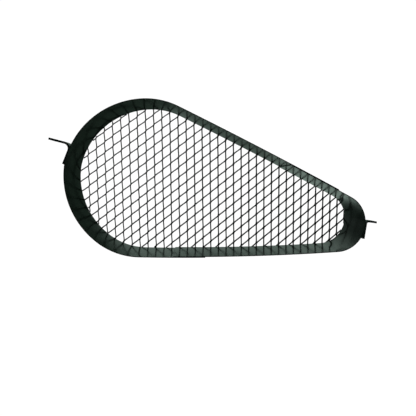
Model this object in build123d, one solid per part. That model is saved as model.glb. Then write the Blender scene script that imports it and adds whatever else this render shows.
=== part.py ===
from build123d import *
from math import acos, atan2, ceil, cos, degrees, floor, hypot, radians, sin, sqrt
import os

# A drop-shaped sheet-steel guard screen. Two bent strips make a deep rim, expanded metal
# closes its back, and a flat-bar bracket is welded on at each end.
# Millimetres. X runs from the big loop to the nose, Z is up and Y is depth: the open mouth of
# the rim is at Y = 0 and the mesh is behind it. The origin is the middle of the big loop.

# Rim strips
RIM_DEPTH = 85.0
SHEET = 1.5

# The bending line, where the loop strip's inside meets the nose strip's outside:
# (centre x, centre z, radius) of each former, anticlockwise from the nose.
FORMERS = [
    (391.5, -89.0, 60.5),
    (10.5, 15.0, 134.5),
    (-50.0, 9.0, 94.0),
    (-4.0, -21.5, 130.5),
]
# Radius of the gentle bow from each former to the next: top side, two shoulders, bottom side.
BOWS = [9300.0, 159.5, 159.5, 4600.0]
TOP_BOW = 0
BOTTOM_BOW = 3

# Lap seams, by the x of each strip's end
NOSE_STRIP_TOP_X = 291.0
LOOP_STRIP_TOP_X = 392.0
NOSE_STRIP_BOTTOM_X = 56.0
LOOP_STRIP_BOTTOM_X = 119.5
SEAM_BEAD = 1.4
SEAM_BEAD_LENGTH = 14.0
SEAM_BEAD_DEPTHS = [13.0, 42.5, 72.0]

# Expanded metal
MESH_DEPTH = 6.0
MESH_LONG_WAY = 40.0
MESH_SHORT_WAY = 19.5
MESH_LONG_ANGLE = 64.7
MESH_HOLE_AT = (143.5, -34.0)
MESH_WEB = 2.0
MESH_BOND = (3.0, 1.0)
TACK_SPACING = 45.0
TACK_LENGTH = 8.0
TACK_LEG = 2.0

# Brackets: flat bar bent into an L. Angles are anticlockwise from +X.
BAR_WIDTH = 20.0
BAR_THICKNESS = 4.0
LEFT_CORNER = (-133.7, 63.4)
LEFT_TAB_ANGLE = 165.9
LEFT_TAB_LENGTH = 41.0
LEFT_BASE_ANGLE = 248.3
LEFT_BASE_LENGTH = 40.3
LEFT_SETBACK = 6.7
LEFT_BEND = 9.0
RIGHT_CORNER = (455.1, -85.7)
RIGHT_TAB_ANGLE = -7.5
RIGHT_TAB_LENGTH = 22.7
RIGHT_BASE_ANGLE = 262.2
RIGHT_BASE_LENGTH = 37.5
RIGHT_SETBACK = 2.0
RIGHT_BEND = 3.5
TAB_HOLE_RADIUS = 3.3
TAB_HOLE_EDGE = 7.5
BRACKET_BEAD = 2.6
BRACKET_BEAD_LENGTH = 15.0
LEFT_BEAD_REACH = 19.0
RIGHT_BEAD_REACH = 13.0


def bow_centre(first, second, radius):
    """Centre of the arc that touches both formers from outside, left of the way round."""
    run_x = second[0] - first[0]
    run_z = second[1] - first[1]
    gap = hypot(run_x, run_z)
    to_first = radius - first[2]
    to_second = radius - second[2]
    along = (to_first**2 - to_second**2 + gap**2) / (2 * gap)
    across = sqrt(to_first**2 - along**2)
    x = first[0] + (run_x * along - run_z * across) / gap
    z = first[1] + (run_z * along + run_x * across) / gap
    return x, z


def heading(start, end):
    return degrees(atan2(end[1] - start[1], end[0] - start[0]))


def rim_arcs():
    """The closed bending line as arcs (x, z, radius, start angle, sweep), anticlockwise."""
    count = len(FORMERS)
    centres = [bow_centre(FORMERS[i], FORMERS[(i + 1) % count], BOWS[i]) for i in range(count)]
    arcs = []
    for i, former in enumerate(FORMERS):
        begin = heading(centres[i - 1], former)
        leave = heading(centres[i], former)
        reach = heading(centres[i], FORMERS[(i + 1) % count])
        arcs.append((*former, begin, (leave - begin) % 360))
        arcs.append((*centres[i], BOWS[i], leave, (reach - leave) % 360))
    return arcs


ARCS = rim_arcs()


def point_on(arc, share, offset=0.0):
    """The point that far round an arc, moved outwards by offset."""
    angle = radians(arc[3] + arc[4] * share)
    reach = arc[2] + offset
    return arc[0] + reach * cos(angle), arc[1] + reach * sin(angle)


def share_at_x(arc, x):
    """How far round a nearly straight side's arc its x is reached."""
    angle = degrees(acos((x - arc[0]) / arc[2]))
    below = arc[3] % 360 > 180
    angle = 360 - angle if below else angle
    return ((angle - arc[3]) % 360) / arc[4]


def part_of(arc, start, end):
    return (*arc[:3], arc[3] + arc[4] * start, arc[4] * (end - start))


def upright(face, start, depth):
    """Stands an XY face up in the XZ plane and extrudes it back along +Y from start."""
    return extrude(Plane.XZ.offset(-start) * face, -depth)


def arc_edges(arcs, offset):
    return [CenterArc((a[0], a[1]), a[2] + offset, a[3], a[4]) for a in arcs]


def strip_face(arcs, inside, outside):
    """The edge-on face of a strip that follows the arcs."""
    ends = [
        Line(point_on(arcs[0], 0, inside), point_on(arcs[0], 0, outside)),
        Line(point_on(arcs[-1], 1, inside), point_on(arcs[-1], 1, outside)),
    ]
    return make_face(arc_edges(arcs, inside) + arc_edges(arcs, outside) + ends)


def rim_outline(offset):
    return make_face(arc_edges(ARCS, offset))


TOP_SIDE = ARCS[2 * TOP_BOW + 1]
BOTTOM_SIDE = ARCS[2 * BOTTOM_BOW + 1]


def run_round_loop(top_x, bottom_x):
    """The arcs from a place on the top side, round the big loop, to one on the bottom side."""
    top = part_of(TOP_SIDE, share_at_x(TOP_SIDE, top_x), 1)
    bottom = part_of(BOTTOM_SIDE, 0, share_at_x(BOTTOM_SIDE, bottom_x))
    return [top] + ARCS[2 * TOP_BOW + 2 : 2 * BOTTOM_BOW + 1] + [bottom]


def run_round_nose(bottom_x, top_x):
    """The arcs from a place on the bottom side, round the nose, to one on the top side."""
    bottom = part_of(BOTTOM_SIDE, share_at_x(BOTTOM_SIDE, bottom_x), 1)
    top = part_of(TOP_SIDE, 0, share_at_x(TOP_SIDE, top_x))
    return [bottom, ARCS[0], top]


def loop_strip():
    """The outer strip, on the outside of the bending line."""
    run = run_round_loop(LOOP_STRIP_TOP_X, LOOP_STRIP_BOTTOM_X)
    return upright(strip_face(run, 0, SHEET), 0, RIM_DEPTH)


def nose_strip():
    """The inner strip, on the inside of the bending line."""
    run = run_round_nose(NOSE_STRIP_BOTTOM_X, NOSE_STRIP_TOP_X)
    return upright(strip_face(run, -SHEET, 0), 0, RIM_DEPTH)


def seam_welds(side, end_x, strip):
    """Short fillet beads between the loop strip's end and the nose strip's outside."""
    x, z = point_on(side, share_at_x(side, end_x))
    stitches = []
    for depth in SEAM_BEAD_DEPTHS:
        bead = upright(Pos(x, z) * Circle(SEAM_BEAD), depth - SEAM_BEAD_LENGTH / 2, SEAM_BEAD_LENGTH)
        inside = upright(rim_outline(0), 0, RIM_DEPTH)
        stitches.append((bead - inside - strip).solid())
    return Compound(stitches)


def diamond():
    """One hole of the mesh, with its long corners cut short by the bonds."""
    half_long = MESH_LONG_WAY / 2 - MESH_BOND[0]
    half_short = MESH_SHORT_WAY / 2 - MESH_WEB / 2 / cos(atan2(MESH_SHORT_WAY, MESH_LONG_WAY))
    tip = MESH_BOND[1]
    corners = [
        (half_long, tip),
        (0, half_short),
        (-half_long, tip),
        (-half_long, -tip),
        (0, -half_short),
        (half_long, -tip),
    ]
    return make_face(Polyline(*corners, close=True))


def mesh_panel():
    """The expanded metal, as upright webs of the raised mesh's full depth."""
    outline = rim_outline(SHEET / 2)
    box = outline.bounding_box()
    turned = Rot(0, 0, MESH_LONG_ANGLE) * diamond()
    long_step = Vector(cos(radians(MESH_LONG_ANGLE)), sin(radians(MESH_LONG_ANGLE))) * MESH_LONG_WAY
    short_step = Vector(-long_step.Y, long_step.X).normalized() * MESH_SHORT_WAY
    start = Vector(*MESH_HOLE_AT)
    reach = ceil(2 * box.diagonal / MESH_SHORT_WAY)
    holes = []
    for row in range(-reach, reach + 1):
        for column in range(-reach, reach + 1):
            shift = (row % 2) / 2
            middle = start + long_step * (column + shift) + short_step * (row / 2)
            if box.min.X < middle.X < box.max.X and box.min.Y < middle.Y < box.max.Y:
                holes.append(Pos(middle.X, middle.Y) * turned)
    sheet = upright(outline, RIM_DEPTH, MESH_DEPTH)
    webs = sheet - [upright(hole, RIM_DEPTH, MESH_DEPTH) for hole in holes]
    return max(webs.solids(), key=lambda solid: solid.volume)


def strand_lines(x, z):
    """How many strands of each of the mesh's two families lie between this point and a bond."""
    long_way = direction(MESH_LONG_ANGLE)
    short_way = direction(MESH_LONG_ANGLE - 90)
    from_bond = Vector(x, z) - Vector(*MESH_HOLE_AT) + long_way * (MESH_LONG_WAY / 2)
    along = from_bond.dot(long_way) / MESH_LONG_WAY
    across = from_bond.dot(short_way) / MESH_SHORT_WAY
    return floor(along - across), floor(along + across)


def tack_arcs(run):
    """A short arc round each place where a strand crosses the run, about TACK_SPACING apart."""
    tacks = []
    gap = TACK_SPACING
    for arc in run:
        length = arc[2] * radians(arc[4])
        half = TACK_LENGTH / 2 / length
        steps = ceil(length)
        lines = strand_lines(*point_on(arc, 0, SHEET / 2))
        for i in range(1, steps):
            share = i / steps
            gap += length / steps
            here = strand_lines(*point_on(arc, share, SHEET / 2))
            if here != lines and gap > TACK_SPACING and half < share < 1 - half:
                tacks.append(part_of(arc, share - half, share + half))
                gap = 0.0
            lines = here
    return tacks


def tack_welds():
    """Short welds between the mesh's edge and the back of the rim, all on its outside."""
    tacks = []
    for arc in tack_arcs(run_round_loop(LOOP_STRIP_TOP_X, LOOP_STRIP_BOTTOM_X)):
        beside_mesh = strip_face([arc], SHEET / 2, SHEET)
        tacks.append(upright(beside_mesh, RIM_DEPTH, TACK_LEG).solid())
    for arc in tack_arcs(run_round_nose(LOOP_STRIP_BOTTOM_X, LOOP_STRIP_TOP_X)):
        under_overhang = strip_face([arc], 0, SHEET / 2)
        tacks.append(upright(under_overhang, RIM_DEPTH - TACK_LEG, TACK_LEG).solid())
    return Compound(tacks)


def direction(angle):
    return Vector(cos(radians(angle)), sin(radians(angle)))


def bracket(corner, tab_angle, tab_length, base_angle, base_length, setback, bend):
    """A bar with its tab standing out from the rim and its base lying against the rim."""
    corner = Vector(*corner)
    path = FilletPolyline(
        corner + direction(tab_angle) * tab_length,
        corner,
        corner + direction(base_angle) * base_length,
        radius=bend + BAR_THICKNESS / 2,
    )
    bar = upright(trace(path, BAR_THICKNESS), setback, BAR_WIDTH)
    middle = corner + direction(tab_angle) * (tab_length - TAB_HOLE_EDGE)
    across = direction(tab_angle + 90)
    hole = Plane((middle.X, setback + BAR_WIDTH / 2, middle.Y), z_dir=(across.X, 0, across.Y))
    return (bar - hole * Cylinder(TAB_HOLE_RADIUS, 4 * BAR_THICKNESS)).solid()


def bracket_weld(corner, base_angle, setback, reach, bar, rim_outside):
    """A fillet bead along the back edge of a bracket's base, between the bar and the rim."""
    along = direction(base_angle)
    inward = direction(base_angle + 90) * (BAR_THICKNESS / 2)
    middle = Vector(*corner) + along * reach + inward
    line = Plane((middle.X, setback + BAR_WIDTH, middle.Y), z_dir=(along.X, 0, along.Y))
    bead = line * Cylinder(BRACKET_BEAD, BRACKET_BEAD_LENGTH)
    bead = bead - upright(rim_outline(rim_outside), 0, RIM_DEPTH) - bar
    return max(bead.solids(), key=lambda solid: solid.volume)


loop = loop_strip()
left_bracket = bracket(
    LEFT_CORNER,
    LEFT_TAB_ANGLE,
    LEFT_TAB_LENGTH,
    LEFT_BASE_ANGLE,
    LEFT_BASE_LENGTH,
    LEFT_SETBACK,
    LEFT_BEND,
)
right_bracket = bracket(
    RIGHT_CORNER,
    RIGHT_TAB_ANGLE,
    RIGHT_TAB_LENGTH,
    RIGHT_BASE_ANGLE,
    RIGHT_BASE_LENGTH,
    RIGHT_SETBACK,
    RIGHT_BEND,
)
pieces = {
    "loop_strip": loop,
    "nose_strip": nose_strip(),
    "top_seam_welds": seam_welds(TOP_SIDE, LOOP_STRIP_TOP_X, loop),
    "bottom_seam_welds": seam_welds(BOTTOM_SIDE, LOOP_STRIP_BOTTOM_X, loop),
    "mesh_panel": mesh_panel(),
    "mesh_tack_welds": tack_welds(),
    "left_bracket": left_bracket,
    "left_bracket_weld": bracket_weld(
        LEFT_CORNER, LEFT_BASE_ANGLE, LEFT_SETBACK, LEFT_BEAD_REACH, left_bracket, SHEET
    ),
    "right_bracket": right_bracket,
    "right_bracket_weld": bracket_weld(
        RIGHT_CORNER, RIGHT_BASE_ANGLE, RIGHT_SETBACK, RIGHT_BEAD_REACH, right_bracket, 0
    ),
}

os.makedirs("parts", exist_ok=True)
for name, shape in pieces.items():
    export_step(shape, f"parts/{name}.step")
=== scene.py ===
from math import acos, atan2, ceil, cos, degrees, hypot, pi, radians, sin, sqrt

import bpy
import numpy as np
from mathutils import Matrix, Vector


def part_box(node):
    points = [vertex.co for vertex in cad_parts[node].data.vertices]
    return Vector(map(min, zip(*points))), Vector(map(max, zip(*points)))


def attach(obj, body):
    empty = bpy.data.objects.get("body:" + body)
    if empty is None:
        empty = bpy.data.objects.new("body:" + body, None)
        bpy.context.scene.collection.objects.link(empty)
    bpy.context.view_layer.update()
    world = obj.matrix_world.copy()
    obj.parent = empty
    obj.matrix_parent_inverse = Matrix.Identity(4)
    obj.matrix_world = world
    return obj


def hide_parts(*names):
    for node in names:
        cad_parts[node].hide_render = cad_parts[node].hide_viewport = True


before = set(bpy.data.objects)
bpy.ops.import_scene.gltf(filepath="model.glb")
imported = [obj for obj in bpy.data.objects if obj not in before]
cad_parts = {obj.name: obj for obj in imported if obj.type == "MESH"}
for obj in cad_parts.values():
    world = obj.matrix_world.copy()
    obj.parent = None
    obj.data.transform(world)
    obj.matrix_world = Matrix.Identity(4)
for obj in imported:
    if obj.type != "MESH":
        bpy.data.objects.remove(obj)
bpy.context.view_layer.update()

# Looks for a drop-shaped sheet-steel guard screen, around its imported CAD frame.
# Shapes are worked out in millimetres, in the frame's axes, and put into meshes in metres.
MM = 0.001

# Rim, as the CAD builds it
RIM_DEPTH = 85.0
SHEET = 1.5
FORMERS = [
    (391.5, -89.0, 60.5),
    (10.5, 15.0, 134.5),
    (-50.0, 9.0, 94.0),
    (-4.0, -21.5, 130.5),
]
BOWS = [9300.0, 159.5, 159.5, 4600.0]
NOSE_STRIP_TOP_X = 291.0
LOOP_STRIP_TOP_X = 392.0
NOSE_STRIP_BOTTOM_X = 56.0
LOOP_STRIP_BOTTOM_X = 119.5

# How the strips' edges are rounded, and how far apart points on the rim are
EDGE_ROUND = 0.35
RIM_STEP = 2.0

# Raised expanded metal
MESH_LONG_WAY = 40.0
MESH_SHORT_WAY = 19.5
MESH_LONG_ANGLE = 64.7
MESH_HOLE_AT = (143.5, -34.0)
MESH_MIDDLE_Y = 88.0
STRAND_WIDE = 2.8
STRAND_THICK = 2.2
STRAND_LEAN = 68.0
STRAND_CHAMFER = 0.25
BOND_HALF = 1.6
STRAND_EASE = 0.15
STRAND_POINTS = 14
# How far the rows run each way before they are cut, as a share of the rim's length
ROW_REACH = 1.2

# Weld beads: their lengths, the legs of the corners they fill, and the ripple along them.
# Sunk is the share of a leg that goes into the walls, and end is how near to a bead's tips,
# where it would have no size, its last rings are.
SEAM_BEAD = 1.4
SEAM_BEAD_LENGTH = 14.0
SEAM_BEAD_DEPTHS = [13.0, 42.5, 72.0]
BRACKET_BEAD = 2.6
BRACKET_BEAD_LENGTH = 15.0
TACK_LEGS = (1.3, 2.0)
TACK_LENGTH = 8.0
BEAD_RINGS = 24
BEAD_ARC_POINTS = 7
BEAD_SUNK = 0.25
BEAD_END = 0.995
RIPPLE_PITCH = 1.3
RIPPLE_SHARE = 0.07

# Size of the slow waves in the rim's sheet
WAVE_SIZE = 45

# The way into the rim's depth
DEEP = np.array([0.0, 1.0, 0.0])

# White room, in metres
ROOM_SIDES = 96
FLOOR_RADIUS = 3.0
COVE_RADIUS = 1.0
WALL_HEIGHT = 5.0
FLOOR_RINGS = [0.01, 2.0]
COVE_POINTS = 13
ROOM_GLOW = 1.05

# Studio light: its level in front of the object and behind it, and the share of that level
# low down, high up and far to the left
FRONT_LEVEL = 0.08
BACK_LEVEL = 0.44
LOW_SHARE = 1.35
HIGH_SHARE = 1.4
LEFT_SHARE = 0.35

# Card behind the object, in metres: each shade is an ellipse with its middle and reach in
# (x, z), the share of its reach that is full, and how strong it is.
CARD_Y = 0.3
CARD_HALF = 1.5
CARD_GLOW = 0.42
SHADES = [
    ((-0.07, 0.04), (0.15, 0.125), 0.5, 1.0),
    ((0.17, 0.03), (0.33, 0.15), 0.3, 0.68),
    ((0.34, -0.18), (0.16, 0.085), 0.3, 0.9),
]

# Camera: place in metres, turn in degrees, lens in millimetres
CAMERA_PLACE = (0.0934, -0.58685, -0.0039)
CAMERA_DOWN = 3.62
CAMERA_RIGHT = 5.35
CAMERA_LENS = 25.96
CAMERA_SHIFT = (-0.0291, -0.0197)


def bow_centre(first, second, radius):
    """Centre of the arc that touches both formers from outside, left of the way round."""
    run_x = second[0] - first[0]
    run_z = second[1] - first[1]
    gap = hypot(run_x, run_z)
    to_first = radius - first[2]
    to_second = radius - second[2]
    along = (to_first**2 - to_second**2 + gap**2) / (2 * gap)
    across = sqrt(to_first**2 - along**2)
    return (
        first[0] + (run_x * along - run_z * across) / gap,
        first[1] + (run_z * along + run_x * across) / gap,
    )


def heading(start, end):
    return degrees(atan2(end[1] - start[1], end[0] - start[0]))


def rim_arcs():
    """The rim's bending line as arcs (x, z, radius, start angle, sweep), anticlockwise."""
    count = len(FORMERS)
    centres = [bow_centre(FORMERS[i], FORMERS[(i + 1) % count], BOWS[i]) for i in range(count)]
    arcs = []
    for i, former in enumerate(FORMERS):
        begin = heading(centres[i - 1], former)
        leave = heading(centres[i], former)
        reach = heading(centres[i], FORMERS[(i + 1) % count])
        arcs.append((*former, begin, (leave - begin) % 360))
        arcs.append((*centres[i], BOWS[i], leave, (reach - leave) % 360))
    return arcs


def share_at_x(arc, x):
    """How far round a nearly straight side's arc its x is reached."""
    angle = degrees(acos((x - arc[0]) / arc[2]))
    below = arc[3] % 360 > 180
    angle = 360 - angle if below else angle
    return ((angle - arc[3]) % 360) / arc[4]


def part_of(arc, start, end):
    return (*arc[:3], arc[3] + arc[4] * start, arc[4] * (end - start))


def along_arcs(arcs, step):
    """Points and outward directions along arcs: centre + radius * (cos, sin) of the angle."""
    points = []
    outward = []
    for x, z, radius, start, sweep in arcs:
        count = ceil(radius * radians(sweep) / step)
        angle = np.radians(start + sweep * np.arange(count) / count)
        way = np.column_stack([np.cos(angle), np.zeros(count), np.sin(angle)])
        outward.append(way)
        points.append(np.array([x, 0, z]) + radius * way)
    last = radians(start + sweep)
    end = np.array([[cos(last), 0, sin(last)]])
    outward.append(end)
    points.append(np.array([x, 0, z]) + radius * end)
    return np.concatenate(points), np.concatenate(outward)


def rounded_slab(low, high, near, far, radius):
    """A closed profile: a rectangle with quarter-circle corners, and a point just past each
    corner on the long faces, so that smooth shading leaves them flat."""
    turn = np.radians([0, 30, 60, 90])
    hold = 2 * radius
    corners = [(high, far, 1, 1), (low, far, -1, 1), (low, near, -1, -1), (high, near, 1, -1)]
    points = []
    for i, (a, b, side, end) in enumerate(corners):
        arc_a = a - side * radius + side * radius * np.cos(turn)
        arc_b = b - end * radius + end * radius * np.sin(turn)
        arc = np.column_stack([arc_a, arc_b])
        held = np.array([[a, b - end * hold]])
        corner = np.concatenate([held, arc])
        points.append(corner if i % 2 == 0 else corner[::-1])
    return np.concatenate(points)


def sweep(middle, across, deep, profile):
    """Carries a closed profile along a path: point = middle + first * across + second * deep.
    Gives the vertices and faces of one solid, its two ends closed by flat caps."""
    count = len(middle)
    size = len(profile)
    first = profile[None, :, 0:1]
    second = profile[None, :, 1:2]
    points = middle[:, None] + first * across[:, None] + second * deep[:, None]
    row, column = np.meshgrid(np.arange(count - 1), np.arange(size), indexing="ij")
    here = row * size + column
    beside = row * size + (column + 1) % size
    sides = np.stack([here, beside, beside + size, here + size], axis=-1).reshape(-1, 4)
    caps = [list(range(size))[::-1], list(range((count - 1) * size, count * size))]
    return points.reshape(-1, 3), sides.tolist() + caps


def outward_faces(points, faces):
    """Turns the faces round if the volume they enclose comes out negative."""
    quads = np.array([face for face in faces if len(face) == 4])
    a, b, c, d = (points[quads[:, i]] for i in range(4))
    enclosed = np.einsum("ij,ij->i", a, np.cross(b, c)) + np.einsum("ij,ij->i", a, np.cross(c, d))
    return faces if enclosed.sum() > 0 else [face[::-1] for face in faces]


def make_piece(name, solids, slot, material, *nodes):
    """Joins swept solids into one mesh object that stands for the named CAD nodes."""
    points = []
    faces = []
    count = 0
    for solid_points, solid_faces in solids:
        solid_faces = outward_faces(solid_points, solid_faces)
        faces += [[index + count for index in face] for face in solid_faces]
        points.append(solid_points * MM)
        count += len(solid_points)
    mesh = bpy.data.meshes.new(name)
    mesh.from_pydata(np.concatenate(points).tolist(), [], faces)
    mesh.polygons.foreach_set("use_smooth", np.array([len(face) == 4 for face in faces]))
    mesh.materials.append(material)
    mesh.update()
    piece = bpy.data.objects.new(name, mesh)
    bpy.context.scene.collection.objects.link(piece)
    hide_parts(*nodes)
    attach(piece, "root")


ARCS = rim_arcs()
TOP_SIDE = ARCS[1]
BOTTOM_SIDE = ARCS[7]


def rim_strip(arcs, inside):
    """One strip of the rim: a rounded slab of sheet carried along its stretch of arcs."""
    middle, outward = along_arcs(arcs, RIM_STEP)
    deep = np.tile(DEEP, (len(middle), 1))
    profile = rounded_slab(inside, inside + SHEET, 0, RIM_DEPTH, EDGE_ROUND)
    return sweep(middle, outward, deep, profile)


def loop_strip():
    top = part_of(TOP_SIDE, share_at_x(TOP_SIDE, LOOP_STRIP_TOP_X), 1)
    bottom = part_of(BOTTOM_SIDE, 0, share_at_x(BOTTOM_SIDE, LOOP_STRIP_BOTTOM_X))
    return rim_strip([top] + ARCS[2:7] + [bottom], 0)


def nose_strip():
    bottom = part_of(BOTTOM_SIDE, share_at_x(BOTTOM_SIDE, NOSE_STRIP_BOTTOM_X), 1)
    top = part_of(TOP_SIDE, 0, share_at_x(TOP_SIDE, NOSE_STRIP_TOP_X))
    return rim_strip([bottom, ARCS[0], top], -SHEET)


def bead(middle, along, first_side, second_side, length, legs):
    """A fillet weld in the corner between two walls: rings of a quarter ellipse, sunk a little
    into both walls. Ring size is (1 - s^4)^(1/2) at s = -1..1 along it, times a small ripple."""
    turn = np.radians(np.linspace(0, 90, BEAD_ARC_POINTS))
    arc = np.column_stack([np.cos(turn), np.sin(turn)])
    sunk = np.array([[-BEAD_SUNK, 1.0], [-BEAD_SUNK, -BEAD_SUNK], [1.0, -BEAD_SUNK]])
    profile = np.concatenate([arc, sunk])
    s = np.sin(np.linspace(-0.5, 0.5, BEAD_RINGS) * pi) * BEAD_END
    size = np.sqrt(1 - s**4) * (1 + RIPPLE_SHARE * np.sin(2 * pi * s * length / 2 / RIPPLE_PITCH))
    path = middle + s[:, None] * length / 2 * along
    first_leg = size[:, None] * first_side * legs[0]
    second_leg = size[:, None] * second_side * legs[1]
    return sweep(path, first_leg, second_leg, profile)


def islands(node):
    """The middle of each separate solid of a CAD node, in millimetres."""
    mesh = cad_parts[node].data
    group = list(range(len(mesh.vertices)))

    def root(index):
        while group[index] != index:
            index = group[index]
        return index

    places = {}
    for index, vertex in enumerate(mesh.vertices):
        first = places.setdefault(tuple(round(c, 6) for c in vertex.co), index)
        group[root(index)] = root(first)
    for edge in mesh.edges:
        group[root(edge.vertices[0])] = root(edge.vertices[1])
    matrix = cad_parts[node].matrix_world
    members = {}
    for index, vertex in enumerate(mesh.vertices):
        members.setdefault(root(index), []).append(list(matrix @ vertex.co))
    return [(np.min(found, axis=0) + np.max(found, axis=0)) / 2 / MM for found in members.values()]


def nearest_on_line(place):
    """The point of the bending line nearest to a place, seen along the depth, and the ways out
    and anticlockwise round from it."""
    line, outward = along_arcs(ARCS, 1.0)
    best = np.argmin(np.linalg.norm((line - place)[:, ::2], axis=1))
    way = outward[best]
    return line[best], way, np.array([-way[2], 0.0, way[0]])


def seam_beads(side, end_x, away):
    """The beads at one end of the loop strip, in the corner between that end and the nose
    strip's outside. away is 1 where the strip ends on its way anticlockwise, and -1 where it
    starts."""
    arc = part_of(side, share_at_x(side, end_x), 1)
    corner, outward = (found[0] for found in along_arcs([arc], RIM_STEP))
    flat = away * np.array([-outward[2], 0.0, outward[0]])
    return [
        bead(corner + [0, depth, 0], DEEP, outward, flat, SEAM_BEAD_LENGTH, (SEAM_BEAD, SEAM_BEAD))
        for depth in SEAM_BEAD_DEPTHS
    ]


def tack_beads():
    """A dab at each of the CAD's tacks: beside the mesh on the loop strip's back edge, or
    under the mesh's overhang on the nose strip's outside."""
    beads = []
    for place in islands("mesh_tack_welds"):
        point, outward, along = nearest_on_line(place)
        on_edge = place[1] > RIM_DEPTH
        corner = point + outward * (SHEET / 2 if on_edge else 0) + [0, RIM_DEPTH, 0]
        second_side = DEEP if on_edge else -DEEP
        beads.append(bead(corner, along, outward, second_side, TACK_LENGTH, TACK_LEGS))
    return beads


def bracket_bead(node, rim_outside):
    """The bead along the back edge of a bracket's base, between the bar and the rim."""
    (place,) = islands(node)
    point, outward, along = nearest_on_line(place)
    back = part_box(node.replace("_weld", ""))[1].y / MM
    corner = point + outward * rim_outside + [0, back, 0]
    return bead(corner, along, DEEP, outward, BRACKET_BEAD_LENGTH, (BRACKET_BEAD, BRACKET_BEAD))


def strand_profile():
    """The strand's cross-section: a rectangle with small chamfers, wide way first."""
    wide = STRAND_WIDE / 2
    thick = STRAND_THICK / 2
    cut = STRAND_CHAMFER
    quarter = [(wide, thick - cut), (wide - cut, thick)]
    return np.array(
        quarter
        + [(-a, b) for a, b in quarter[::-1]]
        + [(-a, -b) for a, b in quarter]
        + [(a, -b) for a, b in quarter[::-1]]
    )


def strand_rows():
    """Raised expanded metal, as rows of strand that zigzag along the long way.

    Between one line of bonds and the next, a row's place across rises with the distance
    along: flat at each bond and a nearly straight slope between, with STRAND_EASE of it an
    S-curve. The strand leans, so at each bond the two rows that share it lie edge to edge
    along the leaning direction.
    """
    long_way = np.array([cos(radians(MESH_LONG_ANGLE)), 0, sin(radians(MESH_LONG_ANGLE))])
    short_way = np.array([long_way[2], 0, -long_way[0]])
    lean = cos(radians(STRAND_LEAN)) * short_way - sin(radians(STRAND_LEAN)) * DEEP
    half_long = MESH_LONG_WAY / 2
    half_short = MESH_SHORT_WAY / 2
    line, outward = along_arcs(ARCS, RIM_STEP)
    edge = line[:, ::2] + outward[:, ::2] * SHEET / 2
    start = np.array([MESH_HOLE_AT[0], 0, MESH_HOLE_AT[1]]) - half_long * long_way
    reach = ROW_REACH * np.ptp(edge[:, 0])
    rows = ceil(reach / half_short)
    along = np.arange(-reach, reach, half_long / STRAND_POINTS)
    solids = []
    for row in range(-rows, rows):
        phase = (row % 2) * half_long
        from_bond = np.abs((along - phase + half_long) % MESH_LONG_WAY - half_long)
        slope = np.clip((from_bond - BOND_HALF) / (half_long - 2 * BOND_HALF), 0, 1)
        step = (1 - STRAND_EASE) * slope + STRAND_EASE * slope**2 * (3 - 2 * slope)
        across = (row + step) * half_short
        middle = start + along[:, None] * long_way + across[:, None] * short_way
        middle = middle + (0.5 - step)[:, None] * STRAND_WIDE * lean
        middle[:, 1] += MESH_MIDDLE_Y
        for path in inside_paths(middle, edge):
            way = np.gradient(path, axis=0)
            way /= np.linalg.norm(way, axis=1)[:, None]
            wide = lean - way * (way @ lean)[:, None]
            wide /= np.linalg.norm(wide, axis=1)[:, None]
            solids.append(sweep(path, wide, np.cross(way, wide), strand_profile()))
    return solids


def depth_inside(points, edge):
    """How far each point lies inside the convex outline, seen along Y: below 0 outside it."""
    side = np.roll(edge, -1, axis=0) - edge
    length = np.linalg.norm(side, axis=1)
    keep = length > 1e-6
    side = side[keep] / length[keep][:, None]
    offset = points[:, None, ::2] - edge[keep][None]
    return (side[:, 0] * offset[..., 1] - side[:, 1] * offset[..., 0]).min(axis=1)


def inside_paths(points, edge):
    """The stretches of a path that lie inside the outline, their ends cut where it crosses."""
    depth = depth_inside(points, edge)
    change = np.flatnonzero(np.diff(np.concatenate([[0], (depth > 0).astype(int), [0]])))
    paths = []
    for first, last in change.reshape(-1, 2):
        if first == 0 or last == len(points) or last - first < 2:
            continue
        into = depth[first] / (depth[first] - depth[first - 1])
        out = depth[last - 1] / (depth[last - 1] - depth[last])
        start = points[first] + (points[first - 1] - points[first]) * into
        end = points[last - 1] + (points[last] - points[last - 1]) * out
        body = points[first + 1 : last - 1]
        paths.append(np.concatenate([[start], body, [end]]))
    return paths


def colour(code):
    """An sRGB hex colour as linear RGBA."""
    shares = [int(code[i : i + 2], 16) / 255 for i in (0, 2, 4)]
    return [s / 12.92 if s <= 0.04045 else ((s + 0.055) / 1.055) ** 2.4 for s in shares] + [1]


def add(tree, kind, settings=None, **links):
    """Adds a node, sets its properties, and fills its inputs with values or other sockets.

    An input is given by its name, with _ for a space, or by its number after a _.
    """
    made = tree.nodes.new(kind)
    for key, value in (settings or {}).items():
        setattr(made, key, value)
    for key, value in links.items():
        numbered = key[1:].isdigit()
        socket = made.inputs[int(key[1:]) if numbered else key.replace("_", " ")]
        if isinstance(value, bpy.types.NodeSocket):
            tree.links.new(value, socket)
        else:
            socket.default_value = value
    return made


def new_material(name):
    material = bpy.data.materials.new(name)
    material.use_nodes = True
    tree = material.node_tree
    tree.nodes.clear()
    return material, tree


def spread(tree, value, low, high, to_low, to_high):
    """A value's stretch from low to high carried on to the one from to_low to to_high."""
    return add(tree, "ShaderNodeMapRange", {}, Value=value, From_Min=low, From_Max=high,
               To_Min=to_low, To_Max=to_high).outputs[0]


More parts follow.
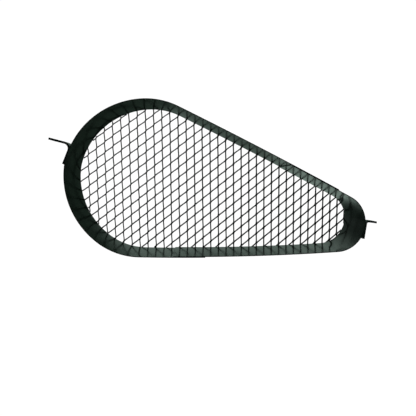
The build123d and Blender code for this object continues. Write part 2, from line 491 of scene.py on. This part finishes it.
def enamel(name, deep, pale, roughness, smudge, peel, peel_depth, wave_depth):
    """Dark green-black gloss enamel, brushed or sprayed on steel.

    deep and pale are the colours that it drifts between over smudge millimetres, and roughness
    is its (low, high) range. peel and peel_depth are the size and depth of the orange peel, and
    wave_depth is the depth of the slow waves that sheet keeps from rolling and bending.
    """
    material, tree = new_material(name)
    place = add(tree, "ShaderNodeTexCoord").outputs["Object"]
    drift = add(tree, "ShaderNodeTexNoise", {}, Vector=place, Scale=1 / (smudge * MM), Detail=4.0,
                Roughness=0.6).outputs[0]
    fine = add(tree, "ShaderNodeTexNoise", {}, Vector=place, Scale=1 / (peel * MM),
               Detail=2.0).outputs[0]
    share = spread(tree, drift, 0.35, 0.65, 0, 1)
    mixed = add(tree, "ShaderNodeMix", {"data_type": "RGBA"}, Factor=share, _6=colour(deep),
                _7=colour(pale)).outputs[2]
    gloss = spread(tree, drift, 0.3, 0.7, *roughness)
    slow = add(tree, "ShaderNodeTexNoise", {}, Vector=place, Scale=1 / (WAVE_SIZE * MM),
               Detail=1.0).outputs[0]
    waves = add(tree, "ShaderNodeBump", {}, Height=slow, Strength=1.0, Distance=wave_depth * MM)
    skin = add(tree, "ShaderNodeBump", {}, Height=fine, Strength=1.0, Distance=peel_depth * MM,
               Normal=waves.outputs[0])
    paint = add(tree, "ShaderNodeBsdfPrincipled", {}, Base_Color=mixed, Roughness=gloss, IOR=1.5,
                Normal=skin.outputs[0])
    add(tree, "ShaderNodeOutputMaterial", {}, Surface=paint.outputs[0])
    return material


# Gloss enamel on rolled sheet: near-black green, glossy enough to mirror the mesh.
rim_enamel = enamel("gloss_enamel_on_sheet", "0d190e", "17271b", (0.13, 0.22), 30, 1.5, 0.004, 0.12)
# The same enamel pulled thin over the strands' sheared edges.
mesh_enamel = enamel("enamel_on_expanded_steel", "070a08", "101613", (0.35, 0.5), 12, 1.0, 0.01,
                     0.0)
# Enamel over the scale of hot-rolled flat bar: duller, with fine pits.
bar_enamel = enamel("enamel_on_flat_bar", "0d1410", "1b2721", (0.3, 0.5), 10, 0.8, 0.02, 0.0)
# Enamel over weld bead: it pools in the ripples.
weld_enamel = enamel("enamel_on_weld", "0a100c", "1a231e", (0.25, 0.45), 5, 1.2, 0.08, 0.0)

make_piece("loop_strip_painted", [loop_strip()], "rim_paint", rim_enamel, "loop_strip")
make_piece("nose_strip_painted", [nose_strip()], "rim_paint", rim_enamel, "nose_strip")
make_piece("mesh_strands", strand_rows(), "mesh_paint", mesh_enamel, "mesh_panel")

beads = {
    "top_seam_welds": seam_beads(TOP_SIDE, LOOP_STRIP_TOP_X, -1),
    "bottom_seam_welds": seam_beads(BOTTOM_SIDE, LOOP_STRIP_BOTTOM_X, 1),
    "mesh_tack_welds": tack_beads(),
    "left_bracket_weld": [bracket_bead("left_bracket_weld", SHEET)],
    "right_bracket_weld": [bracket_bead("right_bracket_weld", 0)],
}
for node, solids in beads.items():
    make_piece(node + "_beads", solids, "weld_paint", weld_enamel, node)

for node in ("left_bracket", "right_bracket"):
    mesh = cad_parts[node].data
    mesh.materials.clear()
    mesh.materials.append(bar_enamel)


def white_room():
    """A plain white floor with a round wall: a flat disc, a quarter-circle cove and a wall.

    Only the camera sees it, so the light on the object is the studio's alone.
    """
    floor_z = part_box("loop_strip")[0].z
    turn = np.linspace(0, 2 * pi, ROOM_SIDES + 1)[:-1]
    cove = np.radians(np.linspace(0, 90, COVE_POINTS))
    cove_radius = FLOOR_RADIUS + COVE_RADIUS * np.sin(cove)
    cove_height = COVE_RADIUS * (1 - np.cos(cove))
    radius = np.concatenate([FLOOR_RINGS, cove_radius, [FLOOR_RADIUS + COVE_RADIUS]])
    height = np.concatenate([[0.0, 0.0], cove_height, [WALL_HEIGHT]])
    x = radius[:, None] * np.cos(turn)
    y = radius[:, None] * np.sin(turn)
    z = np.broadcast_to(height[:, None] + floor_z, x.shape)
    points = np.stack([x, y, z], axis=-1).reshape(-1, 3)
    row, column = np.meshgrid(np.arange(len(radius) - 1), np.arange(len(turn)), indexing="ij")
    here = row * len(turn) + column
    beside = row * len(turn) + (column + 1) % len(turn)
    faces = np.stack([here, beside, beside + len(turn), here + len(turn)], axis=-1).reshape(-1, 4)
    mesh = bpy.data.meshes.new("room")
    mesh.from_pydata(points.tolist(), [], faces.tolist() + [list(range(len(turn)))])
    mesh.polygons.foreach_set("use_smooth", np.ones(len(mesh.polygons), bool))
    mesh.update()
    room = bpy.data.objects.new("room", mesh)
    bpy.context.scene.collection.objects.link(room)
    material, tree = new_material("white_paper")
    glow = add(tree, "ShaderNodeEmission", {}, Color=colour("ffffff"), Strength=ROOM_GLOW)
    add(tree, "ShaderNodeOutputMaterial", {}, Surface=glow.outputs[0])
    mesh.materials.append(material)
    room.visible_glossy = False
    room.visible_diffuse = False
    room.visible_shadow = False


def studio_light():
    """Soft light from all round: brighter behind the object than in front of it, brighter low
    down and high up than level, and dimmer far to the left."""
    world = bpy.data.worlds.new("studio")
    bpy.context.scene.world = world
    world.use_nodes = True
    tree = world.node_tree
    tree.nodes.clear()
    way = add(tree, "ShaderNodeTexCoord").outputs["Generated"]
    parts = add(tree, "ShaderNodeSeparateXYZ", {}, Vector=way)
    level = spread(tree, parts.outputs["Y"], -0.3, 0.9, FRONT_LEVEL, BACK_LEVEL)
    for share in (
        spread(tree, parts.outputs["Z"], -0.3, 0.1, LOW_SHARE, 1.0),
        spread(tree, parts.outputs["Z"], 0.3, 0.5, 1.0, HIGH_SHARE),
        spread(tree, parts.outputs["X"], -0.5, -0.25, LEFT_SHARE, 1.0),
    ):
        level = add(tree, "ShaderNodeMath", {"operation": "MULTIPLY"}, _0=level,
                    _1=share).outputs[0]
    light = add(tree, "ShaderNodeBackground", {}, Color=colour("d8f4e6"), Strength=level)
    add(tree, "ShaderNodeOutputWorld", {}, Surface=light.outputs[0])


def reflector():
    """An upright card behind the object, which only its gloss sees: dim in its shades, and
    elsewhere it lets the studio's light through."""
    half = CARD_HALF
    sides = [(-half, -half), (half, -half), (half, half), (-half, half)]
    corners = [(x, CARD_Y, z) for x, z in sides]
    mesh = bpy.data.meshes.new("reflector")
    mesh.from_pydata(corners, [], [[0, 1, 2, 3]])
    mesh.update()
    card = bpy.data.objects.new("reflector", mesh)
    bpy.context.scene.collection.objects.link(card)
    material, tree = new_material("graded_card")
    place = add(tree, "ShaderNodeTexCoord").outputs["Object"]
    shade = 0.0
    for middle, reach, inner, share in SHADES:
        part = blob(tree, place, middle, reach, inner)
        shade = add(tree, "ShaderNodeMath", {"operation": "MULTIPLY_ADD", "use_clamp": True},
                    _0=part, _1=share, _2=shade).outputs[0]
    clear = add(tree, "ShaderNodeBsdfTransparent")
    dim = add(tree, "ShaderNodeEmission", {}, Color=colour("5a7264"), Strength=CARD_GLOW)
    both = add(tree, "ShaderNodeMixShader", {}, _0=shade, _1=clear.outputs[0],
               _2=dim.outputs[0])
    add(tree, "ShaderNodeOutputMaterial", {}, Surface=both.outputs[0])
    mesh.materials.append(material)
    card.visible_camera = False
    card.visible_diffuse = False
    card.visible_shadow = False
    card.visible_transmission = False


def blob(tree, place, middle, reach, inner):
    """1 inside an ellipse on the card and 0 outside it, easing over the part past inner."""
    scale = (1 / reach[0], 1.0, 1 / reach[1])
    shift = add(tree, "ShaderNodeVectorMath", {"operation": "SUBTRACT"}, _0=place,
                _1=(middle[0], CARD_Y, middle[1]))
    sized = add(tree, "ShaderNodeVectorMath", {"operation": "MULTIPLY"}, _0=shift.outputs[0],
                _1=scale)
    far = add(tree, "ShaderNodeVectorMath", {"operation": "LENGTH"}, _0=sized.outputs[0])
    return add(tree, "ShaderNodeMapRange", {"interpolation_type": "SMOOTHSTEP"},
               Value=far.outputs["Value"], From_Min=inner, From_Max=1.0, To_Min=1.0,
               To_Max=0.0).outputs[0]


def camera():
    """Stands in front of the open mouth, turned a little right and down."""
    data = bpy.data.cameras.new("camera")
    data.sensor_fit = "HORIZONTAL"
    data.sensor_width = 36.0
    data.lens = CAMERA_LENS
    data.shift_x, data.shift_y = CAMERA_SHIFT
    data.clip_start = 0.01
    made = bpy.data.objects.new("camera", data)
    tilt = Matrix.Rotation(radians(90 - CAMERA_DOWN), 4, "X")
    turn = Matrix.Rotation(radians(-CAMERA_RIGHT), 4, "Y")
    made.matrix_world = Matrix.Translation(CAMERA_PLACE) @ tilt @ turn
    bpy.context.scene.collection.objects.link(made)
    bpy.context.scene.camera = made


white_room()
studio_light()
reflector()
camera()
bpy.context.scene.view_settings.view_transform = "Standard"
